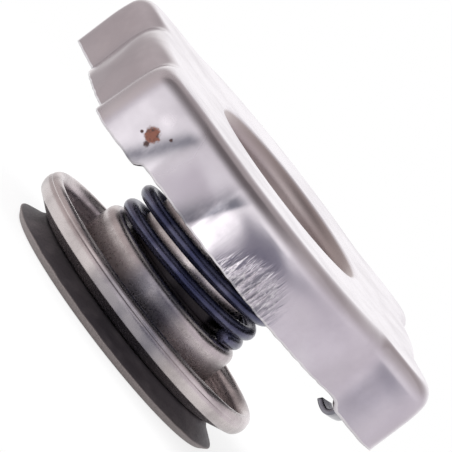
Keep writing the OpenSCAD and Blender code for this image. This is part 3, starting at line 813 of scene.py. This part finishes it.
def makeVacuumValve():
    s = vacuum
    foot, top, reach = footOf("vacuum_disc"), topOf("vacuum_disc"), reachOf("vacuum_disc")
    upper = foot + s["discSheet"]
    corners = [(0, foot), (reach, foot), (reach, upper), (s["stem"], upper), (s["stem"], top), (0, top)]
    turnedPiece("vacuumDisc", "vacuum_valve", "vacuum_disc", brass, corners,
                [0, 0.2, 0.2, 0.1, 0.25, 0], closed=False)
    washerRing("vacuumSeal", "vacuum_valve", "vacuum_seal", sealRubber, s["bore"])
    washerRing("stemWasher", "vacuum_valve", "stem_washer", brass, s["bore"])


makeValvePlate()
makeSpringCup()
makeGasket()
makeBell()
makeNeckDiscAndSeal()
makeRivetAndWasher()
makeClampPlate()
makeVacuumValve()
print("turned pieces made")


# Camera: the photograph looks a little down on the cap, which leans over to the right in the frame
photo = dict(azimuth=-15.0, elevation=6.3, distance=1200.0, pixels=452.0, pixelsPerMm=7.64,
             axisLean=37.4, lookZ=15.0, lookPixel=(200.2, 261.2), sensor=36.0, clip=(50.0, 100000.0))


def makeCamera():
    s = photo
    az, el, roll = (math.radians(s[key]) for key in ("azimuth", "elevation", "axisLean"))
    back = Vector((math.sin(az) * math.cos(el), -math.cos(az) * math.cos(el), math.sin(el)))
    flatRight = Vector((math.cos(az), math.sin(az), 0))
    flatUp = back.cross(flatRight)
    right = math.sin(roll) * flatRight + math.cos(roll) * flatUp  # the axis points right and up in the frame
    up = math.sin(roll) * flatUp - math.cos(roll) * flatRight
    offX = (0.5 * s["pixels"] - s["lookPixel"][0]) / s["pixelsPerMm"]
    offY = (s["lookPixel"][1] - 0.5 * s["pixels"]) / s["pixelsPerMm"]
    target = Vector((0, 0, s["lookZ"])) + offX * right + offY * up
    camera = bpy.data.cameras.new("photoCamera")
    camera.sensor_width = s["sensor"]
    camera.lens = s["sensor"] * s["distance"] * s["pixelsPerMm"] / s["pixels"]
    camera.clip_start, camera.clip_end = (v * mm for v in s["clip"])
    holder = bpy.data.objects.new("photoCamera", camera)
    bpy.context.collection.objects.link(holder)
    turn = Matrix((right, up, back)).transposed().to_4x4()
    holder.matrix_world = Matrix.Translation((target + back * s["distance"]) * mm) @ turn
    bpy.context.scene.camera = holder
    return back, flatRight, flatUp


toCamera, toRight, toUp = makeCamera()
print("camera set")


# Floor: a round pale table top that fades out at its rim, a hair below the sole. To the camera, and in metal, it is
# most of the way to white.
floor = dict(radius=160.0, solid=90.0, below=0.02, colour=(0.93, 0.93, 0.93), whiteShare=0.75)


# 1 for what the camera sees, directly, in a reflection or through glass
def rayShare(tree):
    rays = tree.nodes.new("ShaderNodeLightPath")
    share = rays.outputs["Is Camera Ray"]
    for other in ("Is Glossy Ray", "Is Transmission Ray"):
        either = tree.nodes.new("ShaderNodeMath")
        either.operation = "MAXIMUM"
        tree.links.new(share, either.inputs[0])
        tree.links.new(rays.outputs[other], either.inputs[1])
        share = either.outputs[0]
    return share


def makeFloor():
    s = floor
    bpy.ops.mesh.primitive_circle_add(vertices=96, radius=s["radius"] * mm, fill_type="NGON",
                                      location=(0, 0, -s["below"] * mm))
    piece = bpy.context.object
    piece.name = "tableTop"
    finish = Finish("tableTop")
    finish.set(**{"Base Color": s["colour"], "Roughness": 0.8, "Specular IOR Level": 0.2})
    tree = finish.tree
    white = finish.node("ShaderNodeEmission")
    white.inputs["Strength"].default_value = 1.0
    whiter = finish.node("ShaderNodeMixShader")
    tree.links.new(finish.math("MULTIPLY", rayShare(tree), s["whiteShare"]), whiter.inputs[0])
    tree.links.new(finish.shader.outputs[0], whiter.inputs[1])
    tree.links.new(white.outputs[0], whiter.inputs[2])
    distance = finish.node("ShaderNodeVectorMath", operation="LENGTH")
    finish.feed(finish.place, distance.inputs[0])
    fade = finish.span(distance.outputs["Value"], s["solid"] * mm, 0.97 * s["radius"] * mm)
    clear = finish.node("ShaderNodeBsdfTransparent")
    rim = finish.node("ShaderNodeMixShader")
    tree.links.new(fade, rim.inputs[0])
    tree.links.new(whiter.outputs[0], rim.inputs[1])
    tree.links.new(clear.outputs[0], rim.inputs[2])
    tree.links.new(rim.outputs[0], tree.nodes["Material Output"].inputs["Surface"])
    piece.data.materials.append(finish.material)


makeFloor()


# World: white to the camera, and a plain soft level to diffuse light. Metal sees a studio: rings of colours by
# azimuth from the camera (right is positive), white behind the cap. Low in front stands a window with a dark gap
# beside it, then comes a dark strip, then a wider window, and from there a brown ceiling darkens up to the zenith.
studio = dict(
    low=((-180, (1.17, 1.15, 1.17)), (-170, (1.1, 1.07, 1.07)), (-150, (0.50, 0.455, 0.46)),
         (-118, (0.58, 0.52, 0.52)), (-90, (0.66, 0.59, 0.58)), (-58, (0.69, 0.61, 0.61)),
         (-30, (0.72, 0.67, 0.74)), (-18, (0.78, 0.74, 0.80)), (-14, (2.4, 2.37, 2.4)),
         (-5, (2.4, 2.37, 2.4)), (2, (0.70, 0.67, 0.74)), (11, (0.17, 0.16, 0.23)),
         (22, (0.17, 0.16, 0.23)), (31, (0.62, 0.59, 0.67)), (41, (0.86, 0.82, 0.90)), (54, (0.93, 0.88, 0.95)),
         (72, (0.90, 0.85, 0.93)), (115, (0.85, 0.80, 0.86)), (155, (1.1, 1.08, 1.1)), (180, (1.17, 1.15, 1.17))),
    strip=((-180, (1.17, 1.15, 1.17)), (-165, (1.1, 1.07, 1.07)), (-148, (0.58, 0.53, 0.53)),
           (-90, (0.68, 0.61, 0.61)), (-50, (0.74, 0.68, 0.70)), (-24, (1.0, 0.97, 1.03)), (-14, (1.5, 1.47, 1.5)),
           (-7, (1.2, 1.17, 1.2)), (-1, (0.42, 0.41, 0.47)), (6, (0.24, 0.23, 0.29)), (24, (0.22, 0.21, 0.28)),
           (40, (0.54, 0.52, 0.59)), (58, (0.76, 0.72, 0.79)), (85, (0.84, 0.79, 0.86)), (115, (0.85, 0.80, 0.86)),
           (155, (1.1, 1.08, 1.1)), (180, (1.17, 1.15, 1.17))),
    high=((-180, (1.17, 1.15, 1.17)), (-165, (1.1, 1.07, 1.07)), (-148, (0.60, 0.55, 0.55)),
          (-90, (0.70, 0.63, 0.63)), (-50, (0.78, 0.72, 0.74)), (-25, (0.98, 0.95, 1.0)), (-13, (1.35, 1.32, 1.36)),
          (20, (1.35, 1.32, 1.36)), (36, (0.98, 0.94, 1.0)), (70, (0.92, 0.87, 0.94)), (115, (0.85, 0.80, 0.86)),
          (155, (1.1, 1.08, 1.1)), (180, (1.17, 1.15, 1.17))),
    stripFrom=-3.5, stripTo=2.0, highFrom=6.0, highTo=14.0, ceilingFrom=14.0, ceilingTo=72.0,
    ceiling=(0.19, 0.165, 0.17), ceilingRight=(0.62, 0.57, 0.58), behind=(0.50, 0.45, 0.45),
    soft=(0.80, 0.79, 0.80), white=(1.0, 1.0, 1.0))


def makeWorld():
    s = studio
    world = bpy.data.worlds.new("studio")
    bpy.context.scene.world = world
    world.use_nodes = True
    tree = world.node_tree
    tree.nodes.clear()
    direction = tree.nodes.new("ShaderNodeTexCoord").outputs["Generated"]

    def feed(value, socket):
        if isinstance(value, bpy.types.NodeSocket):
            tree.links.new(value, socket)
        else:
            socket.default_value = tint(value) if isinstance(value, tuple) else value

    def along(vector):
        made = tree.nodes.new("ShaderNodeVectorMath")
        made.operation = "DOT_PRODUCT"
        feed(direction, made.inputs[0])
        made.inputs[1].default_value = vector
        return made.outputs["Value"]

    def reckon(operation, first, second):
        made = tree.nodes.new("ShaderNodeMath")
        made.operation = operation
        feed(first, made.inputs[0])
        feed(second, made.inputs[1])
        return made.outputs[0]

    def mix(share, first, second):
        made = tree.nodes.new("ShaderNodeMix")
        made.data_type = "RGBA"
        for value, socket in zip((share, first, second), (made.inputs[0], made.inputs[6], made.inputs[7])):
            feed(value, socket)
        return made.outputs[2]

    front = Vector((toCamera.x, toCamera.y, 0)).normalized()
    azimuth = reckon("ARCTAN2", along(toRight), along(front))
    around = reckon("ADD", reckon("DIVIDE", azimuth, 2 * math.pi), 0.5)
    height = along((0, 0, 1))

    def ring(colours):
        made = tree.nodes.new("ShaderNodeValToRGB")
        feed(around, made.inputs["Fac"])
        stops = made.color_ramp.elements
        while len(stops) < len(colours):
            stops.new(0.5)
        for stop, (degrees, colour) in zip(stops, colours):
            stop.position = degrees / 360 + 0.5
            stop.color = tint(colour)
        return made.outputs["Color"]

    def above(first, last):
        made = tree.nodes.new("ShaderNodeMapRange")
        made.interpolation_type = "SMOOTHSTEP"
        feed(height, made.inputs["Value"])
        feed(math.sin(math.radians(first)), made.inputs["From Min"])
        feed(math.sin(math.radians(last)), made.inputs["From Max"])
        return made.outputs[0]

    def between(value, first, last):
        made = tree.nodes.new("ShaderNodeMapRange")
        feed(value, made.inputs["Value"])
        feed(first, made.inputs["From Min"])
        feed(last, made.inputs["From Max"])
        return made.outputs[0]

    room = mix(above(s["stripFrom"], s["stripTo"]), ring(s["low"]), ring(s["strip"]))
    room = mix(above(s["highFrom"], s["highTo"]), room, ring(s["high"]))
    overhead = mix(between(along(toRight), -0.05, 0.4), s["ceiling"], s["ceilingRight"])
    overhead = mix(between(along(front), 0.04, -0.12), overhead, s["behind"])
    room = mix(above(s["ceilingFrom"], s["ceilingTo"]), room, overhead)
    rays = tree.nodes.new("ShaderNodeLightPath").outputs
    lit = mix(rays["Is Glossy Ray"], s["soft"], room)
    seen = mix(reckon("MAXIMUM", rays["Is Camera Ray"], rays["Is Transmission Ray"]), lit, s["white"])
    light = tree.nodes.new("ShaderNodeBackground")
    feed(seen, light.inputs["Color"])
    out = tree.nodes.new("ShaderNodeOutputWorld")
    feed(light.outputs[0], out.inputs["Surface"])


makeWorld()


# Lamps: soft boxes, each given by its direction from the cap (right, up, towards the camera), size and power.
# They light what is matt; the metal shows the studio's panels.
lamps = dict(
    key=dict(side=-0.75, height=0.75, front=0.35, away=700.0, size=500.0, watts=4.0),
    fill=dict(side=0.9, height=0.3, front=0.5, away=800.0, size=500.0, watts=2.0),
)


def makeLamps():
    middle = Vector((0, 0, photo["lookZ"]))
    for name, s in lamps.items():
        way = (s["side"] * toRight + s["height"] * toUp + s["front"] * toCamera).normalized()
        data = bpy.data.lights.new(name, "AREA")
        data.shape = "DISK"
        data.size = s["size"] * mm
        data.energy = s["watts"]
        holder = bpy.data.objects.new(name, data)
        bpy.context.collection.objects.link(holder)
        holder.location = (middle + way * s["away"]) * mm
        holder.rotation_mode = "QUATERNION"
        holder.rotation_quaternion = way.to_track_quat("Z", "Y")
        holder.visible_glossy = False


makeLamps()
bpy.context.scene.view_settings.view_transform = "Standard"
print("studio lit")
